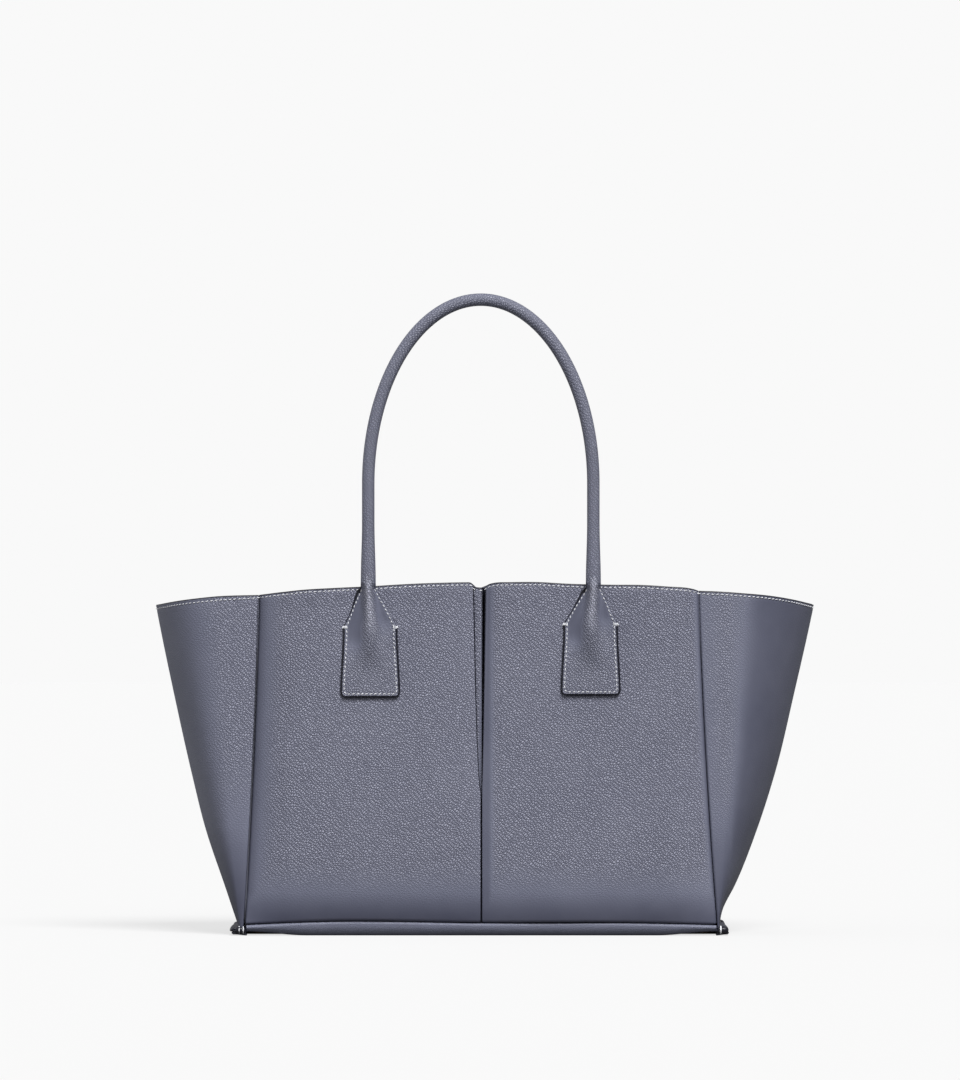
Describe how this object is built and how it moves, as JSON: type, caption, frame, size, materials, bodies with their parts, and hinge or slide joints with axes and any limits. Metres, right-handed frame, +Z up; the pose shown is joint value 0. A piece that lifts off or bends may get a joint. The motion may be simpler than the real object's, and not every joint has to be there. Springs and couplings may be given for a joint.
{
  "type": "leather tote bag",
  "caption": "Open-topped leather tote with a flat base, pleated front and rear, flared side wings and rolled carrying handles on stitched tabs.",
  "frame": {"origin": "middle of the underside of the base", "axes": "+Z up, the front faces -Y, +X along the length of the bag to the right as seen from the front"},
  "size_m": [0.492, 0.1796, 0.4819],
  "materials": {
    "outer_leather": "fine pebbled grain calf leather, slate blue-grey, soft sheen",
    "facing_leather": "smooth split leather, slate, matt",
    "lining_cloth": "woven lining cloth, slate, matt",
    "base_board": "fibre board, matt",
    "cord_filler": "twisted cotton cord, undyed",
    "thread": "waxed sewing thread, pale grey",
    "edge_paint": "painted leather edge, near black, satin"
  },
  "bodies": {
    "root": {"front_left_panel": "outer_leather", "front_right_panel": "outer_leather", "rear_left_panel": "outer_leather", "rear_right_panel": "outer_leather", "front_pleat_insert": "outer_leather", "rear_pleat_insert": "outer_leather", "left_gusset": "outer_leather", "right_gusset": "outer_leather", "base_panel": "outer_leather", "front_left_tab": "outer_leather", "front_right_tab": "outer_leather", "rear_left_tab": "outer_leather", "rear_right_tab": "outer_leather", "front_facing": "facing_leather", "rear_facing": "facing_leather", "left_facing": "facing_leather", "right_facing": "facing_leather", "front_left_backing": "facing_leather", "front_right_backing": "facing_leather", "rear_left_backing": "facing_leather", "rear_right_backing": "facing_leather", "front_lining": "lining_cloth", "rear_lining": "lining_cloth", "left_lining": "lining_cloth", "right_lining": "lining_cloth", "base_lining": "lining_cloth", "base_board": "base_board"},
    "front_handle": {"front_handle_tube": "outer_leather", "front_handle_core": "cord_filler"},
    "rear_handle": {"rear_handle_tube": "outer_leather", "rear_handle_core": "cord_filler"}
  },
  "joints": [
    {"name": "front_handle_fold", "type": "hinge", "parent": "root", "child": "front_handle", "pos_m": [0, -0.08516, 0.26634], "axis": [1, 0, 0], "range_deg": [-22, 110]},
    {"name": "rear_handle_fold", "type": "hinge", "parent": "root", "child": "rear_handle", "pos_m": [0, 0.08516, 0.26634], "axis": [-1, 0, 0], "range_deg": [-22, 110]}
  ]
}
